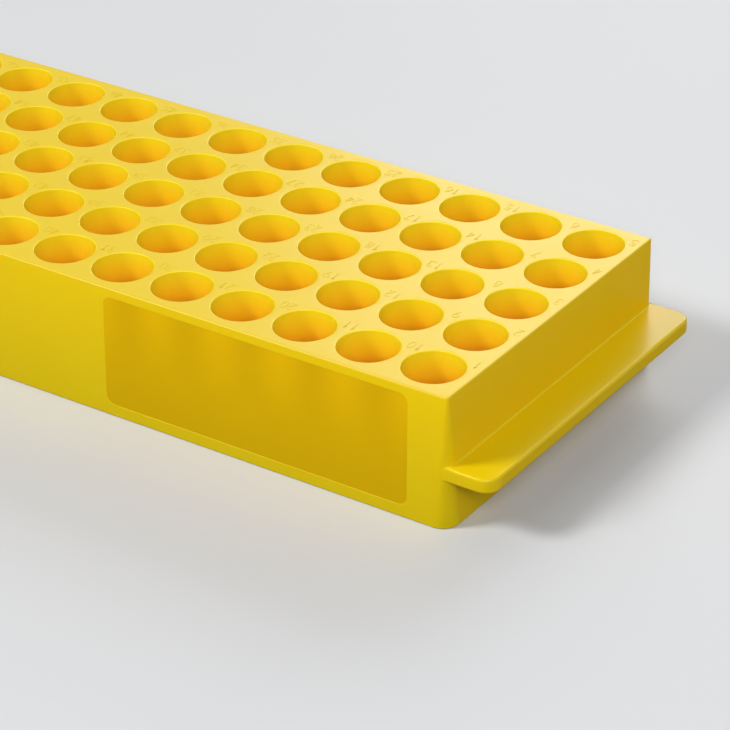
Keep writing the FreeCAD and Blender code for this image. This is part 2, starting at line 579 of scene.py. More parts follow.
@dataclass(frozen=True)
class OuterShell:
    """The leaning walls with the ledges, as turns of one loop from the deck's edge to the foot.

    Half a turn runs along the -Y wall, round a corner, along the +X wall and round the next corner.
    The other half is the same, turned by 180 degrees about Z. At the ledge's height, a turn follows the
    ledge's outline between its two junctions with the corners, and the wall elsewhere.
    """

    sizes: RackSizes
    deck: Deck
    wall_rows: int = 8
    top_rows: int = 5
    face_rows: int = 2
    bottom_rows: int = 3
    foot_rows: int = 6
    round_rows: int = 4
    side_steps: int = 3
    bend_steps: int = 6
    end_slant: float = 0.05          # most that an end's face runs along X, as a share of its run along Y

    def stations(self) -> tuple[Array, Array, Array, Array]:
        """The places of half a turn's points.

        Returns:
            Each point's share of the half length and of the half width, its turn round a corner from
            the side wall, 0, to the end wall, 1, and the side of the X axis that it is on.
        """
        corner_x = self.sizes.half_x - self.sizes.deck_corner
        corner_y = self.sizes.half_y - self.sizes.deck_corner
        side = self.deck.side_places(self.sizes.well_x) / corner_x
        end = self.deck.side_places(self.sizes.well_y) / corner_y
        turn = np.linspace(0, 1, self.deck.corner_steps + 1)[1:-1]
        one, nil = np.ones_like, np.zeros_like
        along_x = np.concatenate([side, one(turn), one(end), one(turn)])
        along_y = np.concatenate([-one(side), -one(turn), end, one(turn)])
        turned = np.concatenate([nil(side), turn, one(end), turn[::-1]])
        hand = np.concatenate([-one(side), -one(turn), one(end), one(turn)])
        return along_x, along_y, turned, hand

    def corner(self, z: Array) -> tuple[Array, Array, Array]:
        """The walls' corners at a height.

        The radius grows evenly from the deck's to the foot's, and the walls move out by the flare for
        each metre down. A corner's middle lies one radius inside both walls.

        Args:
            z: The height.

        Returns:
            Their plan radius, and the X and Y of their middles.
        """
        s = self.sizes
        down = s.height - z
        radius = s.deck_corner + (s.base_corner - s.deck_corner) * down / s.height
        return radius, s.half_x + s.flare * down - radius, s.half_y + s.flare * down - radius

    def junction(self, z: Array, inset: Array) -> Array:
        """Where the ledge's side meets the walls' corner.

        It is the arcsine of the side's distance past the corner's middle over the corner's radius.

        Args:
            z: The height.
            inset: How far inside the ledge's side the point lies.

        Returns:
            The turn round the corner from the end wall's face.
        """
        radius, _, middle_y = self.corner(z)
        side = self.sizes.half_y - self.sizes.ledge_inset - inset
        return np.arcsin((side - middle_y) / radius)

    def flat_junction(self, z: float) -> Array:
        """The junction of the ledge's flat top or bottom face, at height z, (1, 1)."""
        return self.junction(np.array([[z]]), np.array([[self.sizes.ledge_round]]))

    def wall(self, z: Array, inset: Array, junction: Array) -> Array:
        """Turns of the wall.

        A point lies at its corner's middle, moved along the sides by its share of them, plus the
        corner's radius less the inset in the direction that it faces.

        Args:
            z: Heights, (rows, 1) or (rows, points).
            inset: How far inside the wall the points lie, in the same form.
            junction: Turn from the end wall's face that halves the corner's points, (rows, 1).

        Returns:
            (rows, points, 3) places of half a turn.
        """
        along_x, along_y, turned, hand = self.stations()
        radius, middle_x, middle_y = self.corner(z)
        before = QUARTER - (QUARTER - junction) * 2 * turned
        facing = hand * np.where(turned < 0.5, before, junction * 2 * (1 - turned))
        x = along_x * middle_x + (radius - inset) * np.cos(facing)
        y = along_y * middle_y + (radius - inset) * np.sin(facing)
        return xyz(x, y, z)

    def ledge_span(self) -> slice:
        """Half a turn's points on the ledge, from one junction to the other."""
        first, last = np.flatnonzero(np.abs(self.stations()[2] - 0.5) < SAME)
        return slice(int(first), int(last) + 1)

    def ledge(self, z: Array, inset: Array) -> Array:
        """Turns of the ledge's outline between its junctions with the wall.

        Half of an outline runs along the ledge's side, round its corner and to the middle of its outer
        face. The other half is its mirror image.

        Args:
            z: Heights, (rows, 1).
            inset: How far inside the ledge's side and outer faces the points lie, (rows, 1).

        Returns:
            (rows, points, 3) places.
        """
        s = self.sizes
        span = self.ledge_span()
        front_steps = (span.stop - span.start) // 2 - self.side_steps - self.bend_steps
        radius, middle_x, _ = self.corner(z)
        start = middle_x + radius * np.cos(self.junction(z, inset))
        centre_x = s.half_x + s.ledge_reach - s.ledge_corner
        centre_y = s.half_y - s.ledge_inset - s.ledge_corner
        reach = s.ledge_corner - inset
        share = np.linspace(0, 1, self.side_steps + 1)
        turn = np.linspace(-QUARTER, 0, self.bend_steps + 1)[1:]
        front = np.linspace(-centre_y, 0, front_steps + 1)[1:]
        side_x = start + (centre_x - start) * share
        xs = [side_x, centre_x + reach * np.cos(turn), centre_x + reach + 0 * front]
        ys = [0 * share - centre_y - reach, reach * np.sin(turn) - centre_y, front + 0 * reach]
        half_x, half_y = np.concatenate(xs, axis=1), np.concatenate(ys, axis=1)
        x = np.concatenate([half_x, half_x[:, -2::-1]], axis=1)
        y = np.concatenate([half_y, -half_y[:, -2::-1]], axis=1)
        return xyz(x, y, z)

    def with_ledge(self, z: Array, inset: Array) -> Array:
        """Turns that follow the ledge's outline at its place and the wall elsewhere.

        Args:
            z: Heights, (rows, 1).
            inset: How far inside the ledge's side and outer faces the points lie, (rows, 1).

        Returns:
            (rows, points, 3) places of half a turn.
        """
        rows = self.wall(z, np.zeros_like(z), self.junction(z, inset))
        rows[:, self.ledge_span()] = self.ledge(z, inset)
        return rows

    def upper_rows(self) -> Array:
        """The deck's rounded edge and the wall down to the fillet over the ledge.

        The edge is a quarter round. Below it, the rows of each point are evenly spaced down to where
        its fillet starts, and the turn that halves the corner goes evenly over to the ledge's junction.

        Returns:
            (rows, points, 3) places of half a turn.
        """
        s = self.sizes
        cos, sin = quarter(self.round_rows)
        edge_z = (s.height - s.deck_round * (1 - cos))[:, None]
        edge_inset = (s.deck_round * (1 - sin))[:, None]
        halved = QUARTER / 2
        edge = self.wall(edge_z, edge_inset, np.full_like(edge_z, halved))
        meets = self.flat_junction(s.ledge_top)
        lift = self.fillet_size() * (1 - math.sin(s.lean))
        share = np.linspace(0, 1, self.wall_rows + 1)[1:, None]
        start = s.height - s.deck_round
        z = start + share * (s.ledge_top + lift - start)
        return np.concatenate([edge, self.wall(z, np.zeros_like(z), halved + share * (meets - halved))])

    def fillet_size(self) -> Array:
        """Radius of the fillet at each point: whole along the end wall, less round its corners."""
        return self.sizes.ledge_fillet * np.clip(2 * self.stations()[2] - 1, 0, 1)

    def fillet_rows(self) -> Array:
        """The fillet between the wall and the ledge's top face.

        Its circle touches both: its middle is one radius above the top face and one radius out from
        the leaning wall.

        Returns:
            (rows, points, 3) places of half a turn.
        """
        s = self.sizes
        turn = np.linspace(2 * QUARTER + s.lean, 3 * QUARTER, self.round_rows + 1)[1:, None]
        size = self.fillet_size()
        z = s.ledge_top + size * (1 + np.sin(turn))
        out = size * (1 / math.cos(s.lean) + np.cos(turn) + s.flare * np.sin(turn))
        return self.wall(z, -out, self.flat_junction(s.ledge_top))

    def ledge_rows(self) -> Array:
        """The ledge's rounded rims and outer face, from its top face to its bottom face.

        Its profile of height and inset is a quarter round, a straight face and a quarter round.

        Returns:
            (rows, points, 3) places of half a turn.
        """
        s = self.sizes
        cos, sin = quarter(self.round_rows)
        low, high = s.ledge_top - s.ledge_thickness, s.ledge_top
        face = np.linspace(high - s.ledge_round, low + s.ledge_round, self.face_rows + 1)[1:-1]
        z = np.concatenate([high - s.ledge_round * (1 - cos), face, low + s.ledge_round * (1 - sin)])
        inset = np.concatenate([s.ledge_round * (1 - sin), 0 * face, s.ledge_round * (1 - cos)])
        return self.with_ledge(z[:, None], inset[:, None])

    def lower_rows(self) -> Array:
        """The wall under the ledge and the rounded edge of the foot.

        Its profile is a straight run in equal steps and a quarter round.

        Returns:
            (rows, points, 3) places of half a turn.
        """
        s = self.sizes
        low = s.ledge_top - s.ledge_thickness
        cos, sin = quarter(self.round_rows)
        wall_z = np.linspace(low, s.base_round, self.foot_rows + 1)
        z = np.concatenate([wall_z, s.base_round * (1 - sin[1:])])[:, None]
        inset = np.concatenate([0 * wall_z, s.base_round * (1 - cos[1:])])[:, None]
        return self.wall(z, inset, self.flat_junction(low))

    def half_turns(self) -> tuple[Array, slice]:
        """Every row from the deck to the foot.

        The ledge's flat top and bottom are rows evenly spaced between the wall and the ledge's rims.

        Returns:
            (rows, points, 3) places of half a turn, and the rows from the fillet to the upper rim.
        """
        upper, fillet = self.upper_rows(), self.fillet_rows()
        ledge, lower = self.ledge_rows(), self.lower_rows()
        top = between(fillet[-1], ledge[0], self.top_rows)
        bottom = between(ledge[-1], lower[0], self.bottom_rows)
        rows = np.concatenate([upper, fillet, top, ledge, bottom, lower])
        rim = len(upper) + len(fillet) + len(top) + self.round_rows
        return rows, slice(len(upper) - 1, rim + 1)

    def panel_block(self, rows: Array) -> tuple[slice, slice]:
        """The rows and points of half a turn between which the -Y wall is left open for the panel.

        Args:
            rows: Half turns, (rows, points, 3).

        Returns:
            The block's rows and its points.
        """
        along_wall = len(self.deck.side_places(self.sizes.well_x))
        first = int(np.argmin(np.abs(rows[0, :along_wall, 0] - self.sizes.beyond_panel)))
        return slice(self.round_rows, len(rows) - self.round_rows), slice(first, along_wall)

    def build(self, skin: Skin) -> tuple[Array, Array]:
        """Add the walls and ledges, with a finish by each face's place.

        Args:
            skin: Where they are added.

        Returns:
            The loop round the opening for the panel, and the loop at the foot.
        """
        half, ledge_rows = self.half_turns()
        whole = np.concatenate([half, half * np.array([-1, -1, 1])], axis=1)
        faces = grid_faces(*whole.shape[:2], closed=True)
        row, point = np.divmod(faces[:, 0], whole.shape[1])
        block_rows, block_points = self.panel_block(half)
        in_panel = within(row, block_rows) & within(point, block_points)
        along = np.abs(np.roll(whole, -1, axis=1) - whole)
        finish = np.full(len(faces), Finish.WALL)
        finish[(along[..., 0] < self.end_slant * along[..., 1])[row, point]] = Finish.END
        finish[within(point % half.shape[1], self.ledge_span()) & within(row, ledge_rows)] = Finish.LEDGE
        finish[row < self.round_rows] = Finish.DECK
        for kind in (Finish.WALL, Finish.DECK, Finish.END, Finish.LEDGE):
            skin.add(whole, faces[(finish == kind) & ~in_panel], kind)
        block = half[block_rows, block_points]
        loop = np.concatenate([block[0], block[1:, -1], block[-1, -2::-1], block[-2:0:-1, 0]])
        return distinct(loop), whole[-1]


def within(steps: Array, span: slice) -> Array:
    """Which steps from a point to the next lie between a span's first and last point."""
    return (steps >= span.start) & (steps < span.stop - 1)


def between(first: Array, last: Array, steps: int) -> Array:
    """Rows evenly spaced between two rows, without them, (steps - 1, points, 3)."""
    share = np.linspace(0, 1, steps + 1)[1:-1, None, None]
    return first + share * (last - first)


def distinct(loop: Array) -> Array:
    """A closed loop without the points that stand where the one before stands."""
    return loop[np.linalg.norm(loop - np.roll(loop, 1, axis=0), axis=1) > WELD]


# ---- The writing panel ----


@dataclass(frozen=True)
class WritingPanel:
    """The shallow frosted field sunk into the -Y wall, with a small rounded step round it."""

    sizes: RackSizes
    corner_steps: int = 6
    long_steps: int = 32
    short_steps: int = 12
    step: tuple[Pair, ...] = (       # inset and depth of the step's rows, as shares of the panel's depth
        (-0.35, 0.0), (-0.10, 0.15), (0.10, 0.5), (0.35, 0.85), (0.70, 1.0),
    )

    def outline(self, inset: float, depth: float) -> Array:
        """A rounded rectangle on the leaning wall.

        Four quarter circles about the corners' middles are joined by straight runs in equal steps. The
        flat outline is then stood up with the wall's lean and moved into the wall by the depth.

        Args:
            inset: How far inside the panel's own outline it lies.
            depth: How deep under the wall's face.

        Returns:
            (points, 3) places, as one closed loop.
        """
        s = self.sizes
        radius = s.panel_corner - inset
        half = np.array([s.panel_length, s.panel_height]) / 2 - s.panel_corner
        arc = half + radius * on_circle(np.linspace(0, QUARTER, self.corner_steps + 1))
        quarters = [arc, arc[::-1] * (-1, 1), -arc, arc[::-1] * (1, -1)]
        pieces = []
        for n, corner in enumerate(quarters):
            share = np.linspace(0, 1, (self.long_steps, self.short_steps)[n % 2] + 1)[1:-1, None]
            pieces += [corner, corner[-1] + share * (quarters[(n + 1) % 4][0] - corner[-1])]
        flat = np.concatenate(pieces)
        centre_x = s.half_x - s.panel_end_gap - s.panel_length / 2
        down = s.panel_top_gap + s.panel_height / 2 - flat[:, 1]
        cos, sin = math.cos(s.lean), math.sin(s.lean)
        y = depth * cos - s.half_y - down * sin
        z = s.height - down * cos - depth * sin
        return xyz(centre_x + flat[:, 0], y, z)

    def build(self, skin: Skin, opening: Array) -> None:
        """Add the wall round the panel, the step and the frosted field.

        Args:
            skin: Where they are added.
            opening: The loop of the wall's points round the panel.
        """
        deep = self.sizes.panel_depth
        rings = np.stack([self.outline(inset * deep, depth * deep) for inset, depth in self.step])
        skin.zip(opening, rings[0])
        skin.grid(rings, closed=True)
        skin.fan(rings[None, -1], rings[-1].mean(axis=0)[None], Finish.PANEL)


# ---- The underside ----


@dataclass(frozen=True)
class Underside:
    """The cups' bottoms, the hollows between the cups, and the foot of the walls."""

    sizes: RackSizes
    arc_steps: int = 8
    wall_steps: int = 4
    corner_steps: int = 6
    height_rows: int = 6
    fan_share: float = 0.75          # where a pocket's ceiling has its middle, from cups to wall

    def reach(self, z: Height) -> Height:
        """From an outer cup's axis to the inner face of the wall beside it."""
        s = self.sizes
        return s.edge_margin + s.flare * (s.height - z) - s.skin

    def meets_wall(self, z: Height) -> Height:
        """Turn from the wall's direction at which a cup meets the wall."""
        return np.arccos(self.reach(z) / self.sizes.cup_radius)

    @property
    def meets_cup(self) -> float:
        """Turn from the next cup's direction at which two cups meet."""
        return math.acos(self.sizes.pitch / 2 / self.sizes.cup_radius)

    def inner_radius(self, z: Height) -> Height:
        """Plan radius of the walls' inner corners, which grows evenly towards the base.

        Args:
            z: The height.

        Returns:
            The radius there.
        """
        s = self.sizes
        growth = s.inner_base_corner - s.inner_deck_corner
        return s.inner_deck_corner + growth * (s.ceiling - z) / s.ceiling

    def corner_middle(self, z: Height) -> Height:
        """From a corner cup's axis to the middle of the walls' inner corner, along X and along Y."""
        return self.reach(z) - self.inner_radius(z)

    def heights(self) -> Array:
        """Heights of the rows of a hollow's walls, (rows, 1)."""
        return np.linspace(self.sizes.cup_foot, self.sizes.ceiling, self.height_rows + 1)[:, None]

    def add_bottoms(self, skin: Skin) -> None:
        """Add the flat bottoms of all cups.

        A bottom's outline has a straight part where it meets the next cup or a wall, and an arc
        between two such parts. At the start and the middle of a straight part, the radius is its
        distance from the axis over the cosine of the turn from the direction that it faces.

        Args:
            skin: Where they are added.
        """
        s = self.sizes
        centres = s.centres()
        beyond = centres[:, None, :] + s.pitch * np.array([[1, 0], [0, 1], [-1, 0], [0, -1]])
        last = np.array([s.well_x[-1], s.well_y[-1]]) + WELD
        at_wall = (np.abs(beyond) > last).any(axis=2)
        meets = np.where(at_wall, self.meets_wall(s.cup_foot), self.meets_cup)
        following = np.roll(meets, -1, axis=1)
        share = np.arange(self.arc_steps) / self.arc_steps
        chord = np.array([-1.0, 0.0]) * meets[..., None]
        chord_radius = s.cup_radius * np.cos(meets)[..., None] / np.cos(chord)
        arc = meets[..., None] + share * (QUARTER - meets - following)[..., None]
        turn = (np.arange(4) * QUARTER)[:, None] + np.concatenate([chord, arc], axis=2)
        radius = np.concatenate([chord_radius, np.full_like(arc, s.cup_radius)], axis=2)
        x = centres[:, None, None, 0] + radius * np.cos(turn)
        y = centres[:, None, None, 1] + radius * np.sin(turn)
        loops = xyz(x, y, s.cup_foot).reshape(len(centres), -1, 3)
        skin.fan(loops, at_height(centres, s.cup_foot))

    def star(self) -> Array:
        """The loop round a hollow between four cups: an arc of each cup, about the hollow's axis.

        Returns:
            (rows, points, 3) places.
        """
        s = self.sizes
        turn = np.linspace(self.meets_cup, QUARTER - self.meets_cup, self.arc_steps + 1)[:-1]
        arc = s.cup_radius * on_circle(turn) - s.pitch / 2
        loop = np.concatenate([arc @ quarter_turn(-n) for n in range(4)])
        return xyz(loop[:, 0], loop[:, 1], self.heights())

    def wall_pocket(self) -> Array:
        """The loop round a hollow between two cups and the wall at -Y.

        The origin is halfway between the cups' axes. The loop goes from where the cups meet along the
        one cup to the wall, along the wall, and back along the other cup.

        Returns:
            (rows, points, 3) places.
        """
        s = self.sizes
        z = self.heights()
        down = QUARTER - self.meets_wall(z)
        share = np.linspace(0, 1, self.arc_steps + 1)
        turn = self.meets_cup + share * (down - self.meets_cup)
        left_x = s.cup_radius * np.cos(turn) - s.pitch / 2
        left_y = -s.cup_radius * np.sin(turn)
        across = np.linspace(1, -1, self.wall_steps + 1)[1:-1]
        wall_x = left_x[:, -1:] * across
        wall_y = -self.reach(z) + 0 * wall_x
        x = np.concatenate([left_x, wall_x, -left_x[:, :0:-1]], axis=1)
        y = np.concatenate([left_y, wall_y, left_y[:, :0:-1]], axis=1)
        return xyz(x, y, z)

    def corner_pocket(self) -> Array:
        """The loop round the hollow between the corner cup and the walls at +X and +Y.

        The origin is on the cup's axis. The loop goes along the cup from wall to wall, and back along
        the walls and round their corner.

        Returns:
            (rows, points, 3) places.
        """
        s = self.sizes
        z = self.heights()
        meets, reach = self.meets_wall(z), self.reach(z)
        cup = meets + np.linspace(0, 1, self.arc_steps + 1) * (QUARTER - 2 * meets)
        middle, radius = self.corner_middle(z), self.inner_radius(z)
        turn = np.linspace(QUARTER, 0, self.corner_steps + 1)
        halfway = (s.cup_radius * np.sin(meets) + middle) / 2
        x = [s.cup_radius * np.cos(cup), halfway, middle + radius * np.cos(turn), reach]
        y = [s.cup_radius * np.sin(cup), reach, middle + radius * np.sin(turn), halfway]
        return xyz(np.concatenate(x, axis=1), np.concatenate(y, axis=1), z)

    def add_hollows(self, skin: Skin) -> None:
        """Add the walls and ceilings of all hollows: between cups, along the walls and in the corners.

        Args:
            skin: Where they are added.
        """
        s = self.sizes
        x, y = s.well_x, s.well_y
        mid_x, mid_y = (x[1:] + x[:-1]) / 2, (y[1:] + y[:-1]) / 2
        cross = np.stack(np.meshgrid(mid_x, mid_y, indexing="ij"), axis=-1).reshape(-1, 2)
        self.add_kind(skin, self.star(), cross, 0, np.zeros(2))
        pocket, corner = self.wall_pocket(), self.corner_pocket()
        cups_y, wall_y = pocket[-1, 0, 1], pocket[-1, self.arc_steps + 2, 1]
        middle = np.array([0, self.fan_share * wall_y + (1 - self.fan_share) * cups_y])
        sides = [(0, mid_x, y[0]), (2, mid_x, y[-1]), (1, x[-1], mid_y), (3, x[0], mid_y)]
        for turns, side_x, side_y in sides:
            places = np.stack(np.broadcast_arrays(side_x, side_y), axis=1)
            self.add_kind(skin, pocket, places, turns, middle)
        middle = corner[-1, :, :2].mean(axis=0)
        for turns, place in enumerate([(x[-1], y[-1]), (x[0], y[-1]), (x[0], y[0]), (x[-1], y[0])]):
            self.add_kind(skin, corner, np.array([place]), turns, middle)

    def add_kind(self, skin: Skin, rows: Array, places: Array, turns: int, middle: Array) -> None:
        """Add hollows of one kind, walls and ceilings.

        Args:
            skin: Where they are added.
            rows: The hollow's loops about its own origin, (rows, points, 3), the ceiling's last.
            places: Where the hollows' origins go in plan, (copies, 2).
            turns: Quarter turns by which the hollow is turned about its origin.
            middle: A point of the ceiling from which its whole outline can be seen, in plan.
        """
        turned = rows.copy()
        turned[..., :2] = rows[..., :2] @ quarter_turn(turns)
        walls = turned[None] + at_height(places)[:, None, None]
        skin.grid(walls, closed=True)
        middles = places + middle @ quarter_turn(turns)
        skin.fan(walls[:, -1], at_height(middles, self.sizes.ceiling))

    def side_stations(self, wells: Array) -> Array:
        """Places along a wall's inner face at the cups' undersides.

        Each cup meets the wall along a chord, whose half length is the cup's radius times the sine of
        the turn at which they meet. The gaps between the chords are cut into equal steps.

        Args:
            wells: The wells' places along that wall.

        Returns:
            The places in rising order, from one corner's arc to the other's.
        """
        s = self.sizes
        contact = s.cup_radius * np.sin(self.meets_wall(s.cup_foot))
        corner = self.corner_middle(s.cup_foot)
        chord = wells[:, None] + contact * np.array([-1, 0, 1])
        share = np.linspace(0, 1, self.wall_steps + 1)[1:-1]
        gap = chord[:-1, -1:] + share * (chord[1:, :1] - chord[:-1, -1:])
        ends = np.array([corner, (corner + contact) / 2])
        return np.sort(np.concatenate([wells[0] - ends, chord.ravel(), gap.ravel(), wells[-1] + ends]))

    def inner_loop(self, z: float) -> Array:
        """The walls' inner outline at or under the cups' undersides.

        Its points keep their shares of the sides at every height, and its corners are arcs.

        Args:
            z: Height.

        Returns:
            (points, 3) places, as one closed loop.
        """
        s = self.sizes
        radius, last = self.inner_radius(z), np.array([s.well_x[-1], s.well_y[-1]])
        half = last + self.corner_middle(z)
        grown = half / (last + self.corner_middle(s.cup_foot))
        side_x = self.side_stations(s.well_x) * grown[0]
        side_y = self.side_stations(s.well_y) * grown[1]
        arc = half + radius * on_circle(np.linspace(0, QUARTER, self.corner_steps + 1)[1:-1])
        along = np.stack([side_x, np.full_like(side_x, -half[1] - radius)], axis=1)
        up = np.stack([np.full_like(side_y, half[0] + radius), side_y], axis=1)
        half_loop = np.concatenate([along, arc[::-1] * (1, -1), up, arc])
        return at_height(np.concatenate([half_loop, -half_loop]), z)

    def build(self, skin: Skin, foot: Array) -> None:
        """Add the whole underside.

        Args:
            skin: Where it is added.
            foot: The outer walls' loop on the standing surface.
        """
        self.add_bottoms(skin)
        self.add_hollows(skin)
        upper, lower = self.inner_loop(self.sizes.cup_foot), self.inner_loop(0.0)
        skin.grid(np.stack([upper, lower]), closed=True)
        skin.zip(foot, lower)


def quarter_turn(turns: int) -> Array:
    """Matrix that turns row vectors in plan by quarter turns, counter-clockwise."""
    cos, sin = [(1, 0), (0, 1), (-1, 0), (0, -1)][turns % 4]
    return np.array([[cos, sin], [-sin, cos]], dtype=float)


# ---- The whole moulding, and its numbers ----


@dataclass(frozen=True)
class RackBody:
    """The rack's one moulding."""

    sizes: RackSizes

    def build(self) -> bpy.types.Object:
        """Put the patches together and weld them into one closed skin.

        Returns:
            The moulding's object.
        """
        skin = Skin()
        deck = Deck(self.sizes)
        shell = OuterShell(self.sizes, deck)
        deck.build(skin)
        opening, foot = shell.build(skin)
        WritingPanel(self.sizes).build(skin, opening)
        Underside(self.sizes).build(skin, foot)
        return skin.weld("rack_moulding")

    def dress(self, piece: bpy.types.Object, materials: dict[Finish, bpy.types.Material]) -> None:
        """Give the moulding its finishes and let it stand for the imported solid.

        Args:
            piece: The moulding's object.
            materials: The material of each finish.
        """
        for finish in Finish:
            piece.data.materials.append(materials[finish])
        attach(piece, "root")
        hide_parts(NODE)


def curve(centre: Pair, radii: Pair, start: float, end: float, steps: int) -> Array:
    """Points of an ellipse's arc, in a unit-high character's own plane.

    Args:
        centre: Middle of the ellipse.
        radii: Its half width and half height.
        start: First turn in degrees, counter-clockwise from the right.
        end: Last turn.
        steps: Steps between them.

    Returns:
        (steps + 1, 2) points.
    """
    return np.array(centre) + np.array(radii) * on_circle(np.radians(np.linspace(start, end, steps + 1)))


def line(*corners: Pair) -> Array:
    """Points of a broken line."""
    return np.array(corners, dtype=float)


def digit_strokes() -> dict[str, list[Array]]:
    """Plain strokes of the ten digits, in a box one high.

    Returns:
        Each digit's strokes, as arcs of ellipses and broken lines, (points, 2).
    """
    six_bowl = curve((0.28, 0.29), (0.26, 0.29), 90, 450, 12)
    six = [six_bowl, curve((0.62, 0.29), (0.60, 0.71), 180, 108, 5)]
    two_top = curve((0.28, 0.72), (0.25, 0.28), 165, -35, 8)
    three_top = curve((0.26, 0.76), (0.24, 0.24), 150, -90, 7)
    five_bowl = curve((0.25, 0.32), (0.28, 0.32), 120, -150, 8)
    eight_top = curve((0.28, 0.76), (0.21, 0.24), 90, 450, 10)
    return {
        "0": [curve((0.28, 0.5), (0.26, 0.5), 0, 360, 14)],
        "1": [line((0.10, 0.78), (0.32, 1.0), (0.32, 0.0))],
        "2": [np.concatenate([two_top, line((0.03, 0), (0.55, 0))])],
        "3": [three_top, curve((0.26, 0.27), (0.28, 0.27), 85, -150, 8)],
        "4": [line((0.42, 0.0), (0.42, 1.0), (0.02, 0.30), (0.56, 0.30))],
        "5": [np.concatenate([line((0.50, 1.0), (0.10, 1.0), (0.06, 0.56)), five_bowl])],
        "6": six,
        "7": [line((0.02, 1.0), (0.55, 1.0), (0.20, 0.0))],
        "8": [eight_top, curve((0.28, 0.27), (0.27, 0.27), 90, 450, 12)],
        "9": [np.array([DIGIT_WIDTH, 1.0]) - stroke for stroke in six],
    }


@dataclass(frozen=True)
class PositionNumbers:
    """The small raised number beside each well, from 1 to 80, read from the rack's +Y side."""

    sizes: RackSizes
    height: float = 2.15 * MM
    stroke: float = 0.24 * MM        # width of a stroke
    relief: float = 0.065 * MM       # how far it stands over the deck
    sink: float = 0.03 * MM          # how far it reaches into the deck
    flat_share: float = 0.6          # width of its flat top, as a share of its own
    advance: float = 1.55 * MM       # from one digit to the next
    offset: Pair = (6.6 * MM, 4.2 * MM)          # from a well's axis to its number's middle
    end_offset: Pair = (5.8 * MM, 4.3 * MM)      # the same in the +X end's column, nearer to the edge

    def number(self, column: int, row: int) -> int:
        """Number of a well: up one column from the +X end, down the next."""
        rows = len(self.sizes.well_y)
        return rows * column + (row + 1 if column % 2 == 0 else rows - row)

    def places(self) -> dict[str, list[Pair]]:
        """Where the digits go, with right towards -X and up towards -Y.

        A number's digits stand one advance apart, evenly about its middle.

        Returns:
            The places in plan of each digit's lower left, by digit.
        """
        s = self.sizes
        width = DIGIT_WIDTH * self.height
        found: dict[str, list[Pair]] = {digit: [] for digit in "0123456789"}
        for column, x in enumerate(s.well_x[::-1]):
            right, back = self.end_offset if column == 0 else self.offset
            for row, y in enumerate(s.well_y):
                text = str(self.number(column, row))
                start = x + right + (width + self.advance * (len(text) - 1)) / 2
                for n, digit in enumerate(text):
                    found[digit].append((start - n * self.advance, y + back + self.height / 2))
        return found

    def raised(self, path: Array) -> Array:
        """Rings of a raised stroke's low flat-topped profile, carried along a path.

        The profile stands across the path's direction, which is the slope between the points on either
        side.

        Args:
            path: (points, 2) in the character's own plane.

        Returns:
            (points, 4, 3) places about the character's lower left, turned to face the rack's +Y side.
        """
        closed = np.allclose(path[0], path[-1])
        ahead = np.gradient(path, axis=0)
        if closed:
            ahead[0] = ahead[-1] = path[1] - path[-2]
        ahead /= np.linalg.norm(ahead, axis=1, keepdims=True)
        aside = np.stack([-ahead[:, 1], ahead[:, 0]], axis=1)
        across = np.array([-1.0, -self.flat_share, self.flat_share, 1.0]) * self.stroke / 2
        up = np.array([-self.sink, self.relief, self.relief, -self.sink])
        flat = path[:, None] * self.height + across[None, :, None] * aside[:, None]
        return xyz(-flat[..., 0], -flat[..., 1], up)

    def build(self) -> bpy.types.Object:
        """Raise every number's strokes over the deck.

        Returns:
            The object of all numbers.
        """
        skin = Skin()
        strokes = digit_strokes()
        both_ends = np.array([[0, 1, 2, 3], [7, 6, 5, 4]])
        for digit, places in self.places().items():
            offset = at_height(np.array(places), self.sizes.height)
            for path in strokes[digit]:
                copies = self.raised(path)[None] + offset[:, None, None]
                skin.grid(copies, closed=True)
                if not np.allclose(path[0], path[-1]):
                    ends = np.concatenate([copies[:, 0], copies[:, -1]], axis=1)
                    skin.copies(ends, both_ends)
        return skin.weld("position_numbers")

    def dress(self, piece: bpy.types.Object, moulded: bpy.types.Material) -> None:
        """Give the numbers the deck's finish.

        Args:
            piece: The numbers' object.
            moulded: The deck's material.
        """
        piece.data.materials.append(moulded)
        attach(piece, "root")


# ---- Finishes ----


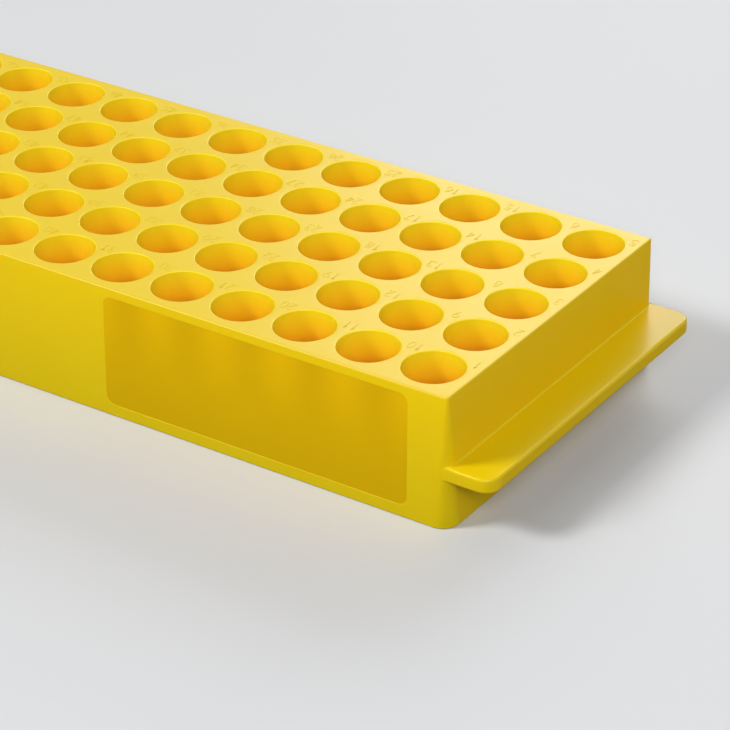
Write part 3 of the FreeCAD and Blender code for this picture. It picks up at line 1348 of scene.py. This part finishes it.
class Nodes:
    """A material's node tree, with short calls to add and join nodes."""

    def __init__(self, name: str) -> None:
        """Start an empty material.

        Args:
            name: The material's name.
        """
        self.material = bpy.data.materials.new(name)
        self.material.use_nodes = True
        self.tree = self.material.node_tree
        self.tree.nodes.clear()

    def add(self, kind: str, inputs: dict | None = None, **settings: object) -> bpy.types.Node:
        """Add a node.

        Args:
            kind: The node's type without its ShaderNode beginning.
            inputs: Values, or sockets to join, by input name.
            settings: The node's own properties.

        Returns:
            The node.
        """
        node = self.tree.nodes.new("ShaderNode" + kind)
        for name, value in settings.items():
            setattr(node, name, value)
        for name, value in (inputs or {}).items():
            self.feed(node.inputs[name], value)
        return node

    def feed(self, socket: Socket, value: object) -> None:
        """Join a socket to another, or set its value.

        Args:
            socket: A node's input.
            value: The output that it is joined to, or its value.
        """
        if isinstance(value, Socket):
            self.tree.links.new(value, socket)
        else:
            socket.default_value = value

    def noise(self, place: Socket, scale: float, detail: float) -> Socket:
        """A noise's value at a place, with features of about 1 / scale metres."""
        return self.add("TexNoise", {"Vector": place, "Scale": scale, "Detail": detail}).outputs["Fac"]

    def ramp(self, value: Socket, start: float, end: float, **settings: object) -> Socket:
        """A value's share of the way from start to end, held between 0 and 1."""
        inputs = {"Value": value, "From Min": start, "From Max": end}
        return self.add("MapRange", inputs, **settings).outputs["Result"]

    def between(self, value: Socket, low: float, high: float) -> Socket:
        """Spread a noise's middle range smoothly over low to high.

        Args:
            value: The noise's value.
            low: The result at the range's start and under it.
            high: The result at its end and over it.

        Returns:
            The result.
        """
        share = self.ramp(value, *NOISE_RANGE, interpolation_type="SMOOTHSTEP")
        share.node.inputs["To Min"].default_value = low
        share.node.inputs["To Max"].default_value = high
        return share

    def blend(self, share: Socket, one: Triple | Socket, other: Triple | Socket) -> Socket:
        """A colour between two, by share.

        Args:
            share: Nothing for the one colour, and one for the other.
            one: A colour, or the socket that gives it.
            other: Another.

        Returns:
            The blended colour.
        """
        node = self.add("Mix", {"Factor": share}, data_type="RGBA")
        for number, colour in zip(MIX_COLOURS, (one, other)):
            self.feed(node.inputs[number], colour if isinstance(colour, Socket) else (*colour, 1.0))
        return node.outputs[MIX_RESULT]

    def step(self, kind: str, operation: str, *values: Socket | float) -> Socket:
        """The result of one arithmetic step.

        Args:
            kind: Math for numbers, or VectorMath for places and colours.
            operation: The step's name.
            values: What it works on, in order.

        Returns:
            The result.
        """
        node = self.add(kind, operation=operation)
        for value, socket in zip(values, node.inputs):
            self.feed(socket, value)
        return node.outputs[0]

    def math(self, operation: str, *values: Socket | float) -> Socket:
        """The result of one arithmetic step on numbers."""
        return self.step("Math", operation, *values)

    def finish(self, shader: bpy.types.Node) -> bpy.types.Material:
        """Join the shader to the output and hand the material over."""
        self.add("OutputMaterial", {"Surface": shader.outputs[0]})
        return self.material


@dataclass(frozen=True)
class Deepening:
    """Painted shade down the piece: the colour darkens by tint, evenly from the height top to the height
    bottom.

    Where clear is given, the colour lightens again from bottom to that height.
    """

    top: float
    bottom: float
    tint: Triple
    clear: float | None = None

    def factor(self, nodes: Nodes, place: Socket) -> Socket:
        """A colour to multiply by, white above top and the tint at bottom.

        Args:
            nodes: The material's node tree.
            place: The place on the piece's X, Y and Z.

        Returns:
            The colour. Its share of the tint is z's share of the way from top to bottom, times its
            share of the way from clear to bottom where clear is given.
        """
        z = nodes.add("SeparateXYZ", {"Vector": place}).outputs["Z"]
        share = nodes.ramp(z, self.top, self.bottom)
        if self.clear is not None:
            share = nodes.math("MULTIPLY", share, nodes.ramp(z, self.clear, self.bottom))
        return nodes.blend(share, WHITE, self.tint)


@dataclass(frozen=True)
class WellGlow:
    """Light that comes through the long walls beside each well, as soft upright bands."""

    pitch: float
    height: float
    strength: float = 0.07
    fade: Pair = (0.4, 0.9)          # between these shares of the height it grows from nothing to whole

    def factor(self, nodes: Nodes, place: Socket) -> Socket:
        """A number to multiply the colour by.

        Args:
            nodes: The material's node tree.
            place: The place on the piece's X, Y and Z.

        Returns:
            One plus a cosine of x that is highest beside each well and dies away down the wall.
        """
        x, _, z = nodes.add("SeparateXYZ", {"Vector": place}).outputs
        wave = nodes.math("COSINE", nodes.math("MULTIPLY", x, TAU / self.pitch))
        low, high = self.fade
        grown = nodes.ramp(z, low * self.height, high * self.height)
        return nodes.math("MULTIPLY_ADD", nodes.math("MULTIPLY", wave, -self.strength), grown, 1.0)


@dataclass(frozen=True)
class Polypropylene:
    """Yellow polypropylene, slightly translucent, smooth from the mould or frosted."""

    name: str
    shades: tuple[Deepening | WellGlow, ...] = ()
    pale: Triple = (0.99, 0.70, 0.002)
    deep: Triple = (0.98, 0.68, 0.001)
    clouds: Pair = (45.0, 3.0)       # scale and detail of the noise between the two colours
    smooth: float = 0.285            # least roughness
    dull: float = 0.33               # greatest roughness
    patches: Pair = (70.0, 1.0)      # scale and detail of the noise between them
    gloss: float = 0.25              # level of the mirrored light
    refraction: float = 1.49
    translucency: float = 0.12       # share of the light that goes on under the surface
    depth: float = 0.8 * MM          # how far it goes there
    spread: Triple = (1.0, 0.6, 0.15)            # shares of that depth for red, green and blue
    grain: Pair = (220.0, 3.0)       # scale and detail of the surface's relief
    relief: float = 0.006 * MM       # its height
    strength: float = 0.5            # share of it that shows

    def colour(self, nodes: Nodes, place: Socket) -> Socket:
        """The clouded colour, times each of the shades, which are painted shade and painted light.

        Args:
            nodes: The material's node tree.
            place: The place on the piece's X, Y and Z.

        Returns:
            The colour.
        """
        clouds = nodes.between(nodes.noise(place, *self.clouds), 0.0, 1.0)
        colour = nodes.blend(clouds, self.deep, self.pale)
        for shade in self.shades:
            colour = nodes.step("VectorMath", "MULTIPLY", colour, shade.factor(nodes, place))
        return colour

    def material(self) -> bpy.types.Material:
        """Make the finish a material that goes by the place on the piece.

        Returns:
            Its colour, uneven gloss, a little light inside it and a fine grain.
        """
        nodes = Nodes(self.name)
        place = nodes.add("TexCoord").outputs["Object"]
        grain = nodes.noise(place, *self.grain)
        bump = nodes.add("Bump", {"Height": grain, "Strength": self.strength, "Distance": self.relief})
        inputs = {
            "Base Color": self.colour(nodes, place),
            "Roughness": nodes.between(nodes.noise(place, *self.patches), self.smooth, self.dull),
            "IOR": self.refraction,
            "Specular IOR Level": self.gloss,
            "Subsurface Weight": self.translucency,
            "Subsurface Radius": self.spread,
            "Subsurface Scale": self.depth,
            "Normal": bump.outputs["Normal"],
        }
        return nodes.finish(nodes.add("BsdfPrincipled", inputs))

    @classmethod
    def for_rack(cls, sizes: RackSizes) -> dict[Finish, "Polypropylene"]:
        """The rack's finishes.

        Args:
            sizes: The rack's sizes.

        Returns:
            What each finish of the moulding is made of, with painted light and shade in its colours.
        """
        top = sizes.height
        # Painted shade: every finish but the deck's and the wells' darkens evenly from the deck's height
        # down to the foot.
        foot = Deepening(top, 0.0, (0.76, 0.82, 1.0))
        # In a well the painted shade, darker and more orange, starts just under the mouth, is whole 7 mm
        # down and gone 14 mm down.
        painted_well_shade = Deepening(top - 0.5 * MM, top - 7.0 * MM, (1.0, 0.53, 0.7), clear=top - 14.0 * MM)
        glow = WellGlow(sizes.pitch, top)
        frosting = {"smooth": 0.52, "dull": 0.60, "grain": (2600.0, 3.0), "relief": 0.03 * MM}
        # Each part's colour is set for the light that falls on it, as painted light and shade on one
        # plastic: the wells' is a paler yellow for painted light, the deck's is less saturated and a
        # little darker for its sheen and stronger light, and the ends' is more orange for painted shade.
        # The panel's is darker and more orange than the walls'.
        wall = (0.99, 0.685, 0.002), (0.98, 0.665, 0.001)
        panel = (0.885, 0.525, 0.001), (0.855, 0.505, 0.001)
        deck = (0.875, 0.63, 0.016), (0.855, 0.61, 0.014)
        well = (0.975, 0.78, 0.018), (0.965, 0.76, 0.014)
        end = (0.99, 0.645, 0.009), (0.985, 0.625, 0.007)
        return {
            Finish.WALL: cls("wall_plastic", (foot,), *wall, gloss=0.13),
            Finish.PANEL: cls("panel_plastic", (foot, glow), *panel, gloss=0.06, **frosting),
            Finish.DECK: cls("deck_plastic", (), *deck),
            Finish.WELL: cls("well_plastic", (painted_well_shade,), *well),
            Finish.END: cls("end_plastic", (foot,), *end, gloss=0.02),
            Finish.LEDGE: cls("ledge_plastic", (foot,), gloss=0.30),
        }


@dataclass(frozen=True)
class FloorFinish:
    """The studio's plain pale floor, which throws less light on the object than it shows."""

    name: str = "pale_floor"
    light: Triple = (0.72, 0.73, 0.75)
    shade: Triple = (0.70, 0.71, 0.73)
    thrown: Triple = (0.22, 0.22, 0.23)          # its colour as a source of light
    clouds: Pair = (3.0, 2.0)        # scale and detail of the noise between light and shade
    smooth: float = 0.55
    dull: float = 0.57
    patches: Pair = (8.0, 1.0)       # scale and detail of the noise between smooth and dull
    gloss: float = 0.3

    def material(self) -> bpy.types.Material:
        """Make the floor's material.

        Returns:
            Matt, with a faint unevenness of colour and gloss. It is pale as seen and as mirrored.
        """
        nodes = Nodes(self.name)
        place = nodes.add("TexCoord").outputs["Object"]
        path = nodes.add("LightPath").outputs
        mirrored = nodes.math("MAXIMUM", path["Is Glossy Ray"], path["Is Transmission Ray"])
        seen = nodes.math("MAXIMUM", path["Is Camera Ray"], mirrored)
        pale = nodes.blend(nodes.noise(place, *self.clouds), self.shade, self.light)
        inputs = {
            "Base Color": nodes.blend(seen, self.thrown, pale),
            "Roughness": nodes.between(nodes.noise(place, *self.patches), self.smooth, self.dull),
            "Specular IOR Level": self.gloss,
        }
        return nodes.finish(nodes.add("BsdfPrincipled", inputs))


# ---- The studio ----


@dataclass(frozen=True)
class SoftBox:
    """A rectangular soft light: its place, what it faces, its size in metres and its power in watts."""

    name: str
    place: Triple
    size: Pair
    watts: float
    aim: Triple = (0.05, 0.0, 0.02)

    def build(self) -> None:
        """Hang the light."""
        lamp = bpy.data.lights.new(self.name, "AREA")
        lamp.shape = "RECTANGLE"
        lamp.size, lamp.size_y = self.size
        lamp.energy = self.watts
        piece = linked(self.name, lamp)
        towards = Vector(self.aim) - Vector(self.place)
        piece.location = self.place
        piece.rotation_euler = towards.to_track_quat("-Z", "Y").to_euler()


@dataclass(frozen=True)
class Studio:
    """Floor, lights, world and camera."""

    lights: tuple[SoftBox, ...] = (
        SoftBox("key", (-0.62, -0.70, 0.90), (0.35, 0.3), 10.6),
        SoftBox("fill", (0.80, -0.90, 0.80), (0.5, 0.5), 9.8),
        SoftBox("side", (1.10, -0.10, 0.60), (0.5, 0.5), 1.6),
        SoftBox("back", (-0.20, 0.95, 0.50), (0.7, 0.5), 4.5),
        SoftBox("back_left", (-0.55, 0.95, 0.60), (1.3, 0.8), 1.8),
        SoftBox("back_right", (0.50, 1.15, 0.75), (1.0, 0.6), 1.4),
    )
    floor_radius: float = 3.0
    floor_rings: Triple = (0.15, 0.5, 1.0)      # shares of its radius
    floor_steps: int = 96
    world: float = 0.05
    lens: float = 154.1              # focal length and sensor's width, in millimetres
    sensor: float = 36.0
    clip: Pair = (0.05, 20.0)
    camera_place: Triple = (0.341713, -0.401200, 0.282406)
    right: Triple = (0.828259, 0.560186, -0.013364)
    up: Triple = (-0.269029, 0.418466, 0.867473)

    def build_floor(self) -> bpy.types.Object:
        """Lay a round floor under the rack: flat rings, and a fan over their middle.

        Returns:
            The floor's object.
        """
        ring = at_height(on_circle(np.linspace(0, TAU, self.floor_steps + 1)[:-1]))
        rings = np.array(self.floor_rings)[:, None, None] * ring * self.floor_radius
        skin = Skin()
        skin.grid(rings, closed=True)
        skin.fan(rings[None, 0], np.zeros((1, 3)))
        mesh = skin.mesh("studio_floor")
        mesh.materials.append(FloorFinish().material())
        return linked(mesh.name, mesh)

    def build_world(self) -> None:
        """Light the scene faintly and evenly from all round."""
        world = bpy.data.worlds.new("studio_world")
        world.use_nodes = True
        background = world.node_tree.nodes["Background"]
        background.inputs["Color"].default_value = (*WHITE, 1.0)
        background.inputs["Strength"].default_value = self.world
        bpy.context.scene.world = world

    def build_camera(self) -> None:
        """Stand the camera at its place, turned so that its right and up are those given."""
        data = bpy.data.cameras.new("camera")
        data.lens = self.lens
        data.sensor_width = self.sensor
        data.clip_start, data.clip_end = self.clip
        piece = linked("camera", data)
        right, up = Vector(self.right), Vector(self.up)
        axes = Matrix((right, up, right.cross(up))).transposed()
        piece.matrix_world = Matrix.Translation(self.camera_place) @ axes.to_4x4()
        bpy.context.scene.camera = piece

    def build(self) -> None:
        """Set up the whole studio."""
        self.build_floor()
        for light in self.lights:
            light.build()
        self.build_world()
        self.build_camera()
        bpy.context.scene.view_settings.view_transform = "Standard"


def main() -> None:
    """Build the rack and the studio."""
    logging.basicConfig(level=logging.INFO, format="%(name)s: %(message)s")
    sizes = RackSizes.from_frame(frame["record"], float(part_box(NODE)[1][2]))
    materials = {finish: plastic.material() for finish, plastic in Polypropylene.for_rack(sizes).items()}
    body = RackBody(sizes)
    moulding = body.build()
    body.dress(moulding, materials)
    log.info("moulding dressed: %s", moulding.name)
    numbers = PositionNumbers(sizes)
    raised = numbers.build()
    numbers.dress(raised, materials[Finish.DECK])
    log.info("numbers dressed: %s", raised.name)
    Studio().build()
    log.info("studio built")


if __name__ == "__main__":
    main()
